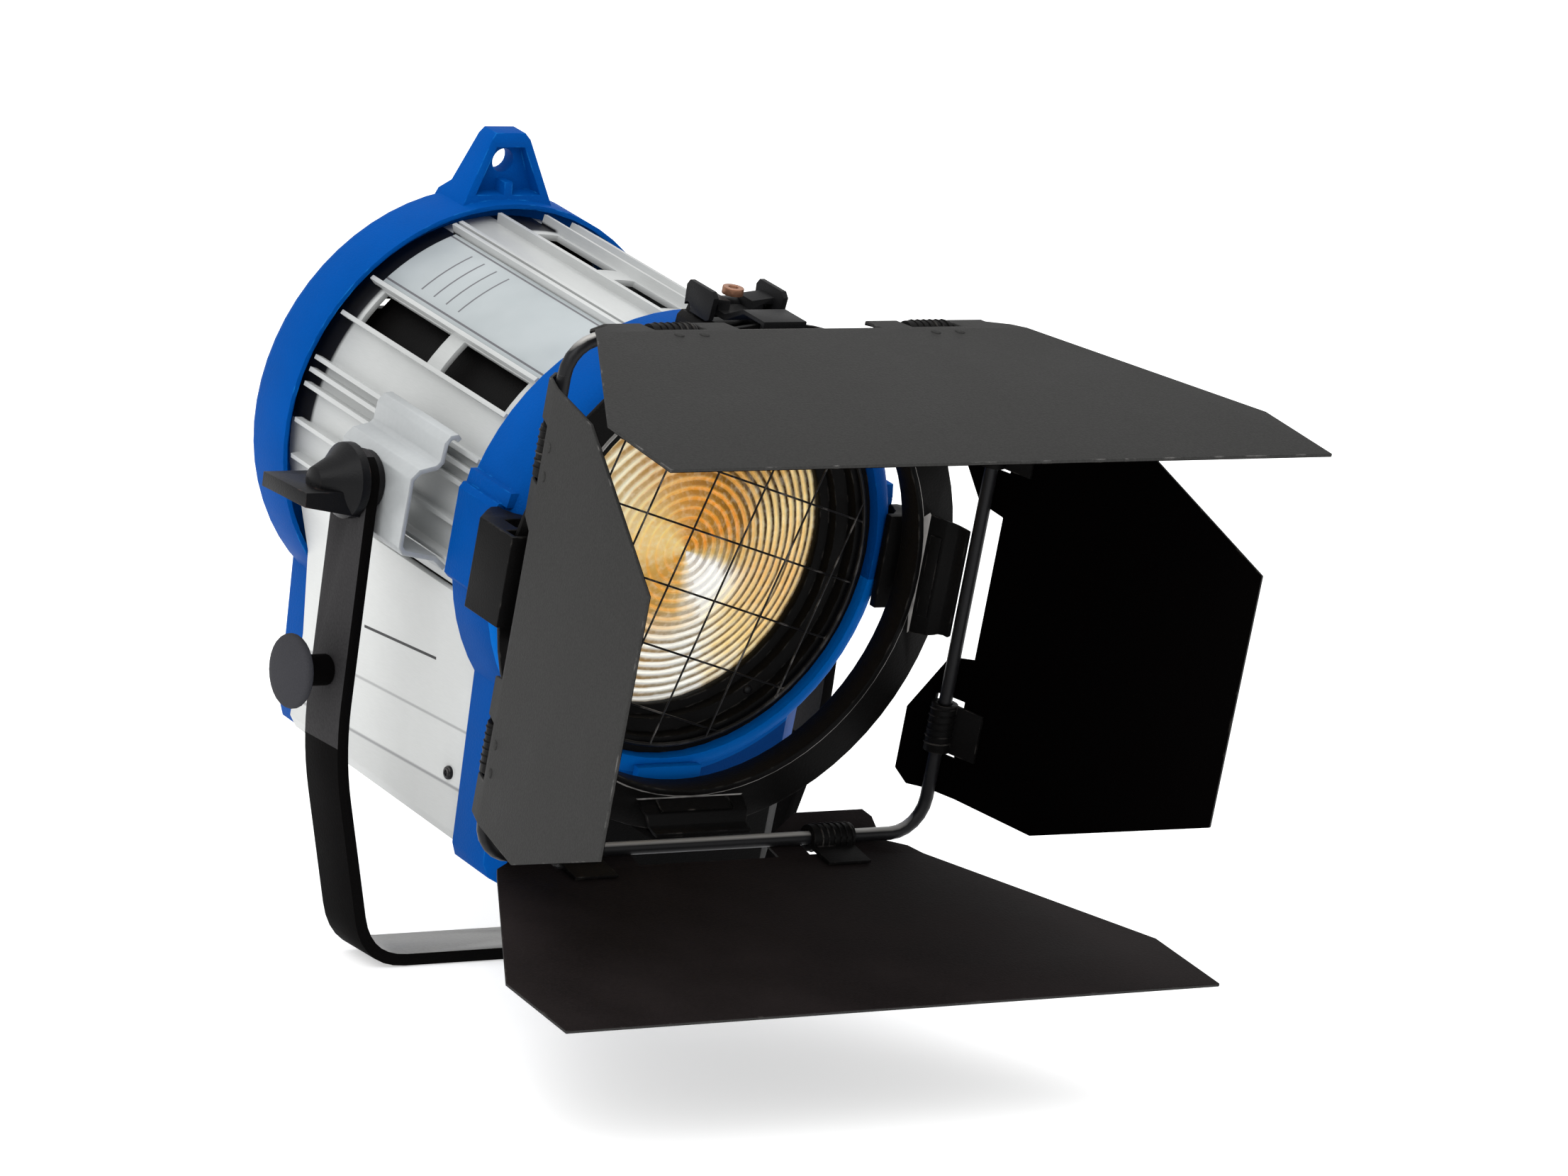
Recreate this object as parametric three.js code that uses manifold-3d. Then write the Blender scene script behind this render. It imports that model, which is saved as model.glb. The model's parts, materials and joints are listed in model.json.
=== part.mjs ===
// Fresnel spotlight on a stirrup, with a rotating four-leaf barndoor.
// Millimetres, +Z up. The origin is the centre of the underside of the stirrup, where a stand bolt passes.
// The head is drawn in its own frame: optical axis along Y, lens facing -Y, centre of the lens at zero.
// placeHead() then tips it nose-down and sets its pivot between the stirrup arms.

import * as THREE from 'three';
import { mergeVertices } from 'three/addons/utils/BufferGeometryUtils.js';
import Module from 'manifold-3d';

const wasm = await Module();
wasm.setup();

// ---- driving dimensions ----
const GAP = 0.3;
const HEAD_TILT = 4.5;
const PIVOT_HEIGHT = 158;
const PIVOT_Y = 47;
const PIVOT_Z = 7.5;

const ARM_INSIDE = 90.5;
const BAR_THICK = 4;
const BAR_WIDTH = 20;
const KNEE_HEIGHT = 71;
const KNEE_BEND = 120;
const FOOT_BEND = 20;
const FOOT_HALF = 72.8;
const STUD_R = 4;

const SHELL_R = 67.5;
const SHELL_WALL = 2;
const SHELL_FRONT = 16.4;
const SHELL_REAR = 127.5;
const TROUGH_REAR = 121.6;
const FIN_TIP_R = 70.8;
const FIN_THICK = 1.5;
const FINS_LEFT = [95.1, 107, 109, 136, 148, 161.5, 165, 169, 179, 189];
const FINS_RIGHT = [80.4, 71, 69, 62, 44, 32, 18.5, 15, 11, 1, -9];
const BOX_HALF_TOP = 57;
const BOX_HALF_LOW = 53;
const BOX_BOTTOM = -107;

const FRONT_R = 73.5;
const FRONT_FACE = -13.4;
const FRONT_BACK = 16;
const FRONT_BORE = 66;
const REAR_R = 73;
const REAR_LIP = 122;
const REAR_BACK = 144.5;
const REAR_BORE = 66.3;

const LENS_R = 57.5;
const LENS_BACK = 8.4;
const LENS_BULGE = 7.2;
const ZONE_R = 52.7;
const GUARD_TURN = 17;
const GUARD_PITCH = 19.6;
const RING_R = 84;
const RING_STEP_R = 72.3;
const RING_BORE = 70.2;
const RING_FRONT = -29.4;
const RING_BACK = -27.8;
const FRAME_HALF = 84;
const FRAME_Y = -41;
const FRAME_CORNER = 12;
const ROD_R = 2.2;
const SHEET = 1.2;

const OPEN_TOP = -2.5;
const OPEN_BOTTOM = 1.7;
const OPEN_LEFT = 14;
const OPEN_RIGHT = 12.2;

// ---- materials ----
function paint(color, roughness, metalness) {
  return { color, roughness, metalness };
}
const BLUE = paint(0x0a5fae, 0.5, 0.1);
const SILVER = paint(0xc9ccce, 0.42, 0.6);
const STEEL = paint(0xa9adb0, 0.35, 0.9);
const BLACK = paint(0x17181a, 0.55, 0.3);
const SHEET_BLACK = paint(0x3f4041, 0.62, 0.3);
const PLASTIC = paint(0x1c1d1f, 0.6, 0.0);
const RUBBER = paint(0x3c3c3d, 0.85, 0.0);
const GLASS = paint(0xe9d9a8, 0.08, 0.0);
const CERAMIC = paint(0xe6e2d6, 0.7, 0.0);
const COPPER = paint(0x9a6a48, 0.4, 0.9);
const MIRROR = paint(0xe4e6e8, 0.08, 1.0);
const LABEL = paint(0xd5d7d6, 0.5, 0.1);

const group = new THREE.Group();
group.name = 'fresnel_spotlight';

// ---- solids ----
function deg(a) {
  return (a * Math.PI) / 180;
}

function polar(r, a) {
  return [r * Math.cos(deg(a)), r * Math.sin(deg(a))];
}

function arc(r, a0, a1, n, cx = 0, cy = 0) {
  const pts = [];
  for (let i = 0; i <= n; i++) {
    const p = polar(r, a0 + ((a1 - a0) * i) / n);
    pts.push([cx + p[0], cy + p[1]]);
  }
  return pts;
}

// Turns a three.js geometry into a manifold solid, dropping triangles that collapse at a pole.
function solid(geometry) {
  const g = geometry.clone();
  g.deleteAttribute('normal');
  g.deleteAttribute('uv');
  const merged = mergeVertices(g, 1e-4);
  const pos = merged.attributes.position.array;
  const index = merged.index.array;
  const tris = [];
  let volume = 0;
  for (let i = 0; i < index.length; i += 3) {
    const [a, b, c] = [index[i], index[i + 1], index[i + 2]];
    if (a === b || b === c || a === c) continue;
    tris.push(a, b, c);
    const v = new THREE.Vector3().fromArray(pos, 3 * a);
    const w = new THREE.Vector3().fromArray(pos, 3 * b);
    const u = new THREE.Vector3().fromArray(pos, 3 * c);
    volume += v.dot(w.cross(u));
  }
  if (volume < 0) {
    for (let i = 0; i < tris.length; i += 3) {
      [tris[i + 1], tris[i + 2]] = [tris[i + 2], tris[i + 1]];
    }
  }
  return new wasm.Manifold(new wasm.Mesh({
    numProp: 3,
    vertProperties: new Float32Array(pos),
    triVerts: new Uint32Array(tris),
  }));
}

function join(...parts) {
  return parts.flat().reduce((a, b) => a.add(b));
}

function cut(body, ...tools) {
  return tools.flat().reduce((a, b) => a.subtract(b), body);
}

function extrude(points, depth, holes = []) {
  const shape = new THREE.Shape(points.map((p) => new THREE.Vector2(p[0], p[1])));
  for (const hole of holes) {
    shape.holes.push(new THREE.Path(hole.map((p) => new THREE.Vector2(p[0], p[1]))));
  }
  return new THREE.ExtrudeGeometry(shape, { depth, bevelEnabled: false, curveSegments: 12 });
}

// Completes an outline given as its right half.
function mirrorOutline(half) {
  return [...half, ...half.map((p) => [-p[0], p[1]]).reverse()];
}

// points are (x, z); the prism runs along Y
function prismXZ(points, y0, y1, holes = []) {
  const g = extrude(points, y1 - y0, holes);
  g.rotateX(Math.PI / 2);
  g.translate(0, y1, 0);
  return solid(g);
}

// points are (y, z); the prism runs along X
function prismYZ(points, x0, x1, holes = []) {
  const g = extrude(points, x1 - x0, holes);
  const m = new THREE.Matrix4().makeBasis(
    new THREE.Vector3(0, 1, 0),
    new THREE.Vector3(0, 0, 1),
    new THREE.Vector3(1, 0, 0),
  );
  g.applyMatrix4(m);
  g.translate(x0, 0, 0);
  return solid(g);
}

// points are (x, y); the prism runs along Z
function prismXY(points, z0, z1, holes = []) {
  const g = extrude(points, z1 - z0, holes);
  g.translate(0, 0, z0);
  return solid(g);
}

function box(x0, x1, y0, y1, z0, z1) {
  const g = new THREE.BoxGeometry(x1 - x0, y1 - y0, z1 - z0);
  g.translate((x0 + x1) / 2, (y0 + y1) / 2, (z0 + z1) / 2);
  return solid(g);
}

function turned(profile, segments, axis = 'y') {
  const g = new THREE.LatheGeometry(profile.map((p) => new THREE.Vector2(p[0], p[1])), segments);
  if (axis === 'x') g.rotateZ(-Math.PI / 2);
  if (axis === 'z') g.rotateX(Math.PI / 2);
  return g;
}

function rodX(r, y, z, x0, x1, segments = 20) {
  const g = new THREE.CylinderGeometry(r, r, x1 - x0, segments);
  g.rotateZ(Math.PI / 2);
  g.translate((x0 + x1) / 2, y, z);
  return solid(g);
}

function rodY(r, x, z, y0, y1, segments = 20) {
  const g = new THREE.CylinderGeometry(r, r, y1 - y0, segments);
  g.translate(x, (y0 + y1) / 2, z);
  return solid(g);
}

function rodZ(r, x, y, z0, z1, segments = 20) {
  const g = new THREE.CylinderGeometry(r, r, z1 - z0, segments);
  g.rotateX(Math.PI / 2);
  g.translate(x, y, (z0 + z1) / 2);
  return solid(g);
}

function sector(r0, r1, a0, a1, y0, y1, n = 8) {
  return prismXZ([...arc(r1, a0, a1, n), ...arc(r0, a1, a0, n)], y0, y1);
}

// Outline of a strip of constant thickness along a path, the path being its middle line.
function strip(path, thick) {
  const left = [];
  const right = [];
  for (let i = 0; i < path.length; i++) {
    const here = new THREE.Vector2(...path[i]);
    const before = new THREE.Vector2(...path[Math.max(i - 1, 0)]);
    const after = new THREE.Vector2(...path[Math.min(i + 1, path.length - 1)]);
    const d0 = (i === 0 ? after.clone().sub(here) : here.clone().sub(before)).normalize();
    const d1 = (i === path.length - 1 ? d0.clone() : after.clone().sub(here)).normalize();
    const bisector = d0.clone().add(d1).normalize();
    const miter = thick / 2 / Math.max(bisector.dot(d0), 0.4);
    left.push([here.x - bisector.y * miter, here.y + bisector.x * miter]);
    right.push([here.x + bisector.y * miter, here.y - bisector.x * miter]);
  }
  return [...left, ...right.reverse()];
}

// Replaces every inner corner of an open path by an arc, with one radius for each corner.
function rounded(path, radii, steps) {
  const out = [path[0]];
  for (let i = 1; i < path.length - 1; i++) {
    const p = new THREE.Vector2(...path[i]);
    const a = new THREE.Vector2(...path[i - 1]).sub(p);
    const b = new THREE.Vector2(...path[i + 1]).sub(p);
    const half = Math.acos(a.clone().normalize().dot(b.clone().normalize())) / 2;
    const back = Math.min(radii[i - 1] / Math.tan(half), a.length() * 0.48, b.length() * 0.48);
    const from = p.clone().add(a.normalize().multiplyScalar(back));
    const to = p.clone().add(b.normalize().multiplyScalar(back));
    for (let k = 0; k <= steps; k++) {
      const t = k / steps;
      const x = (1 - t) * (1 - t) * from.x + 2 * t * (1 - t) * p.x + t * t * to.x;
      const y = (1 - t) * (1 - t) * from.y + 2 * t * (1 - t) * p.y + t * t * to.y;
      out.push([x, y]);
    }
  }
  out.push(path[path.length - 1]);
  return out;
}

const headMatrix = new THREE.Matrix4()
  .makeTranslation(0, 0, PIVOT_HEIGHT)
  .multiply(new THREE.Matrix4().makeRotationX(deg(HEAD_TILT)))
  .multiply(new THREE.Matrix4().makeTranslation(0, -PIVOT_Y, -PIVOT_Z));
const still = new THREE.Matrix4();

// Adds one sub-part to the assembly from a manifold solid.
function add(name, body, look, matrix) {
  const mesh = body.getMesh();
  const flat = new THREE.BufferGeometry();
  flat.setAttribute('position', new THREE.BufferAttribute(new Float32Array(mesh.vertProperties), 3));
  flat.setIndex(new THREE.BufferAttribute(new Uint32Array(mesh.triVerts), 1));
  flat.applyMatrix4(matrix);
  const geometry = flat.toNonIndexed();
  geometry.computeVertexNormals();
  const part = new THREE.Mesh(geometry, new THREE.MeshStandardMaterial(look));
  part.name = name;
  group.add(part);
}

function placeBase(name, body, look) {
  add(name, body, look, still);
}

function placeHead(name, body, look) {
  add(name, body, look, headMatrix);
}

// ---- stirrup ----
const armLine = ARM_INSIDE + BAR_THICK / 2;
const footLine = BAR_THICK / 2;
const barPath = [
  [-armLine, PIVOT_HEIGHT + BAR_WIDTH / 2],
  [-armLine, KNEE_HEIGHT],
  [-FOOT_HALF, footLine],
  [FOOT_HALF, footLine],
  [armLine, KNEE_HEIGHT],
  [armLine, PIVOT_HEIGHT + BAR_WIDTH / 2],
];
const barLine = rounded(barPath, [KNEE_BEND, FOOT_BEND, FOOT_BEND, KNEE_BEND], 7);
const bar = prismXZ(strip(barLine, BAR_THICK), -BAR_WIDTH / 2, BAR_WIDTH / 2);
const endSide = [
  [-BAR_WIDTH / 2, -10],
  [BAR_WIDTH / 2, -10],
  ...arc(BAR_WIDTH / 2, 0, 180, 12, 0, PIVOT_HEIGHT),
];
const stirrup = cut(
  bar.intersect(prismYZ(endSide, -120, 120)),
  rodX(STUD_R + GAP, 0, PIVOT_HEIGHT, -120, 120),
  rodZ(5.25, 0, 0, -5, 10, 28),
);
placeBase('stirrup', stirrup, BLACK);

const post = turned([
  [0, -0.1], [5, -0.1], [5, 10], [8.5, 10.7], [11.5, 11.7], [12, 12.9], [11.5, 14.3], [7, 15.5], [0, 15.8],
], 28);
post.rotateZ(Math.PI / 2);
post.translate(-ARM_INSIDE - BAR_THICK - 0.4, 0, 96.5);
placeBase('cord_post', solid(post), RUBBER);

for (const [side, name] of [[-1, 'left'], [1, 'right']]) {
  const inner = side * (ARM_INSIDE - 2.4);
  const outer = side * (ARM_INSIDE - GAP);
  const disc = rodX(9.5, 0, PIVOT_HEIGHT, Math.min(inner, outer), Math.max(inner, outer), 28);
  const hole = rodX(STUD_R + GAP, 0, PIVOT_HEIGHT, -120, 120);
  placeBase('friction_disc_' + name, cut(disc, hole), PLASTIC);
}

// The lever screws over the end of the left stud: a hub that narrows outwards, with one flat wing.
const hubX = -(ARM_INSIDE + BAR_THICK + GAP);
const hub = turned([[0, 0], [12, 0], [12, 3], [8, 7], [4.5, 13.8], [0, 15]], 28);
hub.rotateZ(Math.PI / 2);
hub.translate(hubX, 0, PIVOT_HEIGHT);
const leverWing = prismXZ([
  [hubX, PIVOT_HEIGHT - 10], [hubX, PIVOT_HEIGHT - 1.8],
  [hubX - 20.5, PIVOT_HEIGHT - 1.8], [hubX - 20.5, PIVOT_HEIGHT - 6.4],
], -7.7, 18.5);
const studEnd = -(ARM_INSIDE + BAR_THICK + 9);
placeBase(
  'tilt_lock_lever',
  cut(join(solid(hub), leverWing), rodX(STUD_R + GAP, 0, PIVOT_HEIGHT, studEnd - GAP, -90)),
  PLASTIC,
);

// ---- pivot hardware, which tips with the head ----
const plateFace = ARM_INSIDE - 2.4 - GAP;
const studLeft = join(
  rodX(STUD_R, PIVOT_Y, PIVOT_Z, studEnd, -plateFace + 3),
  rodX(6.5, PIVOT_Y, PIVOT_Z, -plateFace + 2.1, -plateFace + 6.1, 6),
);
placeHead('pivot_stud_left', studLeft, STEEL);
const studRight = join(
  rodX(STUD_R, PIVOT_Y, PIVOT_Z, plateFace - 3, ARM_INSIDE + BAR_THICK + 1),
  rodX(6.5, PIVOT_Y, PIVOT_Z, plateFace - 6.1, plateFace - 2.1, 6),
  rodX(8.5, PIVOT_Y, PIVOT_Z, ARM_INSIDE + BAR_THICK + GAP, ARM_INSIDE + BAR_THICK + 5, 24),
);
placeHead('pivot_bolt_right', studRight, STEEL);

// Each side bracket is a channel of folded sheet: a foot, the bolted plate, a step in and a rolled top lip.
function sideBracket(side) {
  const plate = plateFace - 0.9;
  const path = [
    [-69.3, -14.6], [-73.5, -11.2], [-plate + 1.5, -9], [-plate, -7], [-plate, 15], [-plate + 2.5, 17.6],
    [-78.6, 18.9], [-77, 20.6], [-76.6, 26.6], [-75.2, 28.6], [-73, 28.9], [-71.8, 27.6],
  ];
  const channel = prismXZ(strip(path, 1.8), 25, 66);
  const bolt = rodX(STUD_R + GAP, PIVOT_Y, PIVOT_Z, -120, -60);
  const left = cut(channel, bolt);
  return side < 0 ? left : left.mirror([1, 0, 0]);
}
placeHead('side_bracket_left', sideBracket(-1), SILVER);
placeHead('side_bracket_right', sideBracket(1), SILVER);

// ---- front casting ----
function lowerOutline(halfTop, halfLow, bottom, corner, top) {
  const right = [
    [halfTop, top],
    [halfLow, bottom + corner],
    [halfLow - corner * 0.3, bottom + corner * 0.3],
    [halfLow - corner, bottom],
  ];
  return [...right, ...right.map((p) => [-p[0], p[1]]).reverse()];
}

const frontDrum = solid(turned([
  [0, FRONT_FACE], [67.8, FRONT_FACE], [70, FRONT_FACE + 1], [72, FRONT_FACE + 3.2],
  [FRONT_R, FRONT_FACE + 6.9], [FRONT_R, FRONT_BACK], [0, FRONT_BACK],
], 64));
const frontPlan = mirrorOutline([[60, FRONT_BACK], [60, 2], [47, FRONT_FACE + 4]]);
const frontBox = prismXZ(lowerOutline(58, 54.5, -109.5, 6, -40), FRONT_FACE + 4, FRONT_BACK)
  .intersect(prismXY(frontPlan, -120, 0));
// A flat boss on each side takes an accessory bracket, with a narrow ledge above it.
const frontEars = join([-1, 1].map((side) => join(
  prismXZ([[60, -13.5], [74, -13.5], [75.5, -12], [75.5, 16], [74.3, 17.9], [60, 17.9]]
    .map((p) => [side * p[0], p[1]]), -5, FRONT_BACK),
  prismXZ([[60, 17.5], [73.2, 17.5], [72.4, 22.2], [60, 22.2]]
    .map((p) => [side * p[0], p[1]]), -8, FRONT_BACK),
)));
const frontCasting = cut(
  join(frontDrum, frontBox, frontEars),
  rodY(FRONT_BORE, 0, 0, FRONT_FACE - 1, 9, 56),
  rodY(60, 0, 0, 8, FRONT_BACK + 1, 48),
  prismXZ(lowerOutline(48, 48, -105.5, 5, -71), 0, FRONT_BACK + 1),
);
placeHead('front_casting', frontCasting, BLUE);

placeHead('lens_retaining_ring', solid(turned([
  [53.2, 3.2], [53.2, 0.2], [56.2, -0.3], [56.2, -4.2], [60.5, -4.7], [60.5, -9], [65.7, -9.6], [65.7, 8.6],
  [58.2, 8.6], [58.2, 3.2], [53.2, 3.2],
], 48)), BLACK);

// Concentric steps that follow a shallow dome, steep towards the middle of each zone, on a flat back.
function lensFace(r) {
  return -3.8 + LENS_BULGE * (r / ZONE_R) ** 2;
}
const lensProfile = [[0, LENS_BACK], [LENS_R, LENS_BACK], [LENS_R, 4], [ZONE_R + 0.3, 4]];
const ZONES = 10;
const ZONE_STEP = 1.7;
const zoneWidth = (ZONE_R - 10) / ZONES;
for (let i = ZONES - 1; i >= 0; i--) {
  const inner = 10 + zoneWidth * i;
  lensProfile.push([inner + zoneWidth, lensFace(inner + zoneWidth) + ZONE_STEP]);
  lensProfile.push([inner, lensFace(inner)]);
}
lensProfile.push([10, lensFace(10) + ZONE_STEP]);
lensProfile.push([5, lensFace(5) + 0.3], [0, lensFace(0)]);
placeHead('fresnel_lens', solid(turned(lensProfile, 40)), GLASS);

// Safety mesh: two crossing rows of wires, one laid on the other, slightly turned and ending in a hoop.
const GUARD_Y = -11.2;
const wires = [];
for (let i = -3; i <= 3; i++) {
  for (const [turn, phase, layer] of [[GUARD_TURN, 8.5, 0.31], [GUARD_TURN - 90, 7, -0.29]]) {
    const off = i * GUARD_PITCH + phase;
    if (Math.abs(off) > 56) continue;
    const half = Math.sqrt(62 * 62 - off * off);
    const g = new THREE.CylinderGeometry(0.45, 0.45, 2 * half, 6);
    g.rotateY(0.2);
    g.rotateZ(Math.PI / 2);
    g.translate(0, 0, off);
    g.rotateY(deg(turn));
    g.translate(0, GUARD_Y + layer, 0);
    wires.push(solid(g));
  }
}
const hoop = turned([[61.6, -0.7], [63, -0.7], [63, 0.7], [61.6, 0.7], [61.6, -0.7]], 48);
hoop.translate(0, GUARD_Y, 0);
placeHead('wire_guard', join(solid(hoop), wires), STEEL);

// ---- housing ----
const shellArc = [...arc(SHELL_R, -17.5, 197.5, 57), ...arc(SHELL_R - SHELL_WALL, 197.5, -17.5, 57)];
const shellSkin = prismXZ(shellArc, SHELL_FRONT, SHELL_REAR);
function fin(angle) {
  const g = new THREE.BoxGeometry(FIN_TIP_R - SHELL_R + 0.6, 100.4, FIN_THICK);
  g.translate((FIN_TIP_R + SHELL_R - 0.6) / 2, 70.7, 0);
  g.rotateY(-deg(angle));
  return solid(g);
}
const vents = [
  sector(60, 75, 136.9, 147.1, 26, 65),
  sector(60, 75, 136.9, 147.1, 73, 114),
  sector(60, 75, 32.9, 43.1, 26, 65),
  sector(60, 75, 32.9, 43.1, 73, 114),
  sector(60, 75, 82.4, 92.2, 34, 62),
  sector(60, 75, 82.4, 92.2, 72, 108),
];
placeHead('upper_shell', cut(join(shellSkin, [...FINS_LEFT, ...FINS_RIGHT].map(fin)), vents), SILVER);

const troughHalf = [
  [64, -21.8], [61.3, -28.9], [BOX_HALF_TOP - 1, -44], [BOX_HALF_LOW - 0.6, -73], [BOX_HALF_LOW - 1, -101],
  [BOX_HALF_LOW - 3.5, -104.6], [BOX_HALF_LOW - 8, BOX_BOTTOM + 1],
];
const troughPath = [...troughHalf, ...troughHalf.map((p) => [-p[0], p[1]]).reverse()];
placeHead('lower_trough', prismXZ(strip(troughPath, SHELL_WALL), SHELL_FRONT, TROUGH_REAR), SILVER);

placeHead('heat_baffle', sector(59.4, 60.6, -28, 208, 19, 119, 36), BLACK);
placeHead('label_plate', sector(SHELL_R + GAP, SHELL_R + 1, 110.2, 134.8, 22, 118, 8), LABEL);

// ---- rear casting, with the hanging lug on top ----
const rearDrum = solid(turned([
  [0, REAR_LIP], [REAR_R, REAR_LIP], [REAR_R, REAR_BACK - 4], [REAR_R - 0.9, REAR_BACK - 1.7],
  [REAR_R - 3.5, REAR_BACK], [0, REAR_BACK],
], 64));
const rearBox = prismXZ(lowerOutline(48.2, 43, -113, 8, -40), REAR_LIP, REAR_BACK);
const EYE_Z = 84.2;
const lugFront = mirrorOutline([[18, 60], [17.5, 70], [7.4, 92], [5.6, 94]]);
const lugSide = [
  [126.5, 60], [126.5, 71], [130.6, 92], [131.5, 94], [139, 94], [139, 76], [143, 72], [143, 60],
];
// The front of the lug is hollowed out, leaving a rim all round and a short rib below the eye.
const lugPocket = cut(
  prismXZ(mirrorOutline([[12.4, 74.4], [5.4, 89.6]]), REAR_LIP - 1, 133.5),
  box(-1.5, 1.5, REAR_LIP - 2, 134, 70, 78.5),
);
const lug = cut(prismXZ(lugFront, 122, 144).intersect(prismYZ(lugSide, -30, 30)), lugPocket);
const rearCasting = cut(
  join(rearDrum, rearBox, lug),
  rodY(REAR_R - 1.6, 0, 0, REAR_LIP - 1, 128, 56),
  rodY(64, 0, 0, REAR_LIP - 1, 132, 48),
  rodY(REAR_BORE, 0, 0, 131, REAR_BACK + 1, 56),
  prismXZ(lowerOutline(44.2, 39, -109, 7, -38), REAR_LIP - 1, REAR_BACK + 1),
  rodY(4, 0, EYE_Z, REAR_LIP, REAR_BACK, 20),
);
placeHead('rear_casting', rearCasting, BLUE);

const GLAND_X = -30;
const GLAND_Z = -66;
const COVER_Y = 141;
const coverSlots = [];
for (let i = 0; i < 7; i++) {
  const z = 45 - i * 12;
  const half = Math.min(Math.sqrt(56 * 56 - z * z), 44);
  coverSlots.push(box(-half, half, COVER_Y - 5, COVER_Y + 10, z - 1.6, z + 1.6));
}
const coverPlate = join(
  rodY(REAR_BORE - GAP, 0, 0, COVER_Y, COVER_Y + 2.8, 56),
  prismXZ(lowerOutline(43.9, 38.7, -108.7, 7, -37.7), COVER_Y, COVER_Y + 2.8),
);
placeHead('rear_cover', cut(
  coverPlate,
  coverSlots,
  rodY(4.4, 0, -93, COVER_Y - 1, COVER_Y + 5, 20),
  rodY(7.3, GLAND_X, GLAND_Z, COVER_Y - 1, COVER_Y + 5, 24),
), BLACK);

placeHead('cable_gland', cut(
  join(
    rodY(7, GLAND_X, GLAND_Z, 136, 148, 24),
    rodY(10, GLAND_X, GLAND_Z, 144.1, 150.5, 6),
    rodY(7.5, GLAND_X, GLAND_Z, 150, 158, 24),
  ),
  rodY(3.6, GLAND_X, GLAND_Z, 135, 159, 16),
), PLASTIC);

// ---- focus drive ----
const SPINDLE_Z = -93;
for (const [x, name] of [[-30, 'left'], [30, 'right']]) {
  placeHead('guide_rod_' + name, rodY(3, x, SPINDLE_Z, 17, 140.5, 16), STEEL);
}
placeHead('focus_spindle', join(
  rodY(4, 0, SPINDLE_Z, 18, 154, 16),
  rodY(6.5, 0, SPINDLE_Z, 144.2, 146.2, 20),
), STEEL);
const knobRibs = [];
for (let i = 0; i < 10; i++) {
  const c = polar(15.6, i * 36);
  knobRibs.push(rodY(2.2, c[0], SPINDLE_Z + c[1], 149, 162, 8));
}
placeHead('focus_knob', cut(
  rodY(15, 0, SPINDLE_Z, 147, 162, 40),
  rodY(4 + GAP, 0, SPINDLE_Z, 146, 154.5, 16),
  knobRibs,
), PLASTIC);

const carriage = cut(
  join(box(-38, 38, 48, 84, -100, -86), box(-14, 14, 60, 78, -87, -38)),
  rodY(3.3, -30, SPINDLE_Z, 40, 90, 16),
  rodY(3.3, 30, SPINDLE_Z, 40, 90, 16),
  rodY(4 + GAP, 0, SPINDLE_Z, 40, 90, 16),
);
placeHead('lamp_carriage', carriage, STEEL);
placeHead('lamp_socket', box(-13, 13, 58, 76, -37.7, -22), CERAMIC);
placeHead('lamp_bulb', solid(turned([
  [0, -21.7], [6, -21.7], [6.5, -14], [9.5, -10], [9.5, 8], [7.5, 13], [3.5, 16], [0, 16.6],
], 24, 'z').translate(0, 66, 0)), GLASS);
const dish = [];
for (let i = 0; i <= 8; i++) {
  dish.push([34 * Math.sin(deg(i * 7)), -34 * Math.cos(deg(i * 7))]);
}
const dishBack = dish.map((p) => [p[0] * 1.05, p[1] * 1.05]).reverse();
const reflector = turned([...dish, ...dishBack], 36);
reflector.rotateX(Math.PI);
reflector.translate(0, 66, 0);
placeHead('reflector', cut(solid(reflector), box(-14.5, 14.5, 50, 120, -60, -20)), MIRROR);

// ---- accessory brackets that carry the barndoor ring ----
// A U in section, opening towards the axis, in which the ring turns.
const bracketGrip = [
  [-33, 86.6], [-33, 80.5], [-31.2, 80.5], [-31.2, 84.5], [-26.2, 84.5], [-26.2, 75.6], [-23.8, 75.6],
  [-23.8, 79.5], [-16.8, 79.5], [-16.8, 67.5],
];
const bracketSide = [
  [FRONT_FACE - GAP, 67.5], [FRONT_FACE - GAP, 70.2], [-11.5, 72.6], [-7.5, 74.2], [-5.3, 74.2], [-5.3, 77.2],
  [-8, 80.5], [-14, 86.6], ...bracketGrip,
];
const bracketBelow = [[FRONT_FACE - GAP, 67.5], [FRONT_FACE - GAP, 86.6], ...bracketGrip];
placeHead('ring_bracket_left', prismYZ(bracketSide, -12, 17.3).rotate([0, -90, 0]), BLACK);
placeHead('ring_bracket_right', prismYZ(bracketSide, -14.5, 16.5).rotate([0, 90, 0]), BLACK);
placeHead('ring_bracket_bottom', prismYZ(bracketBelow, -12, 12).rotate([0, 180, 0]), BLACK);

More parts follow.
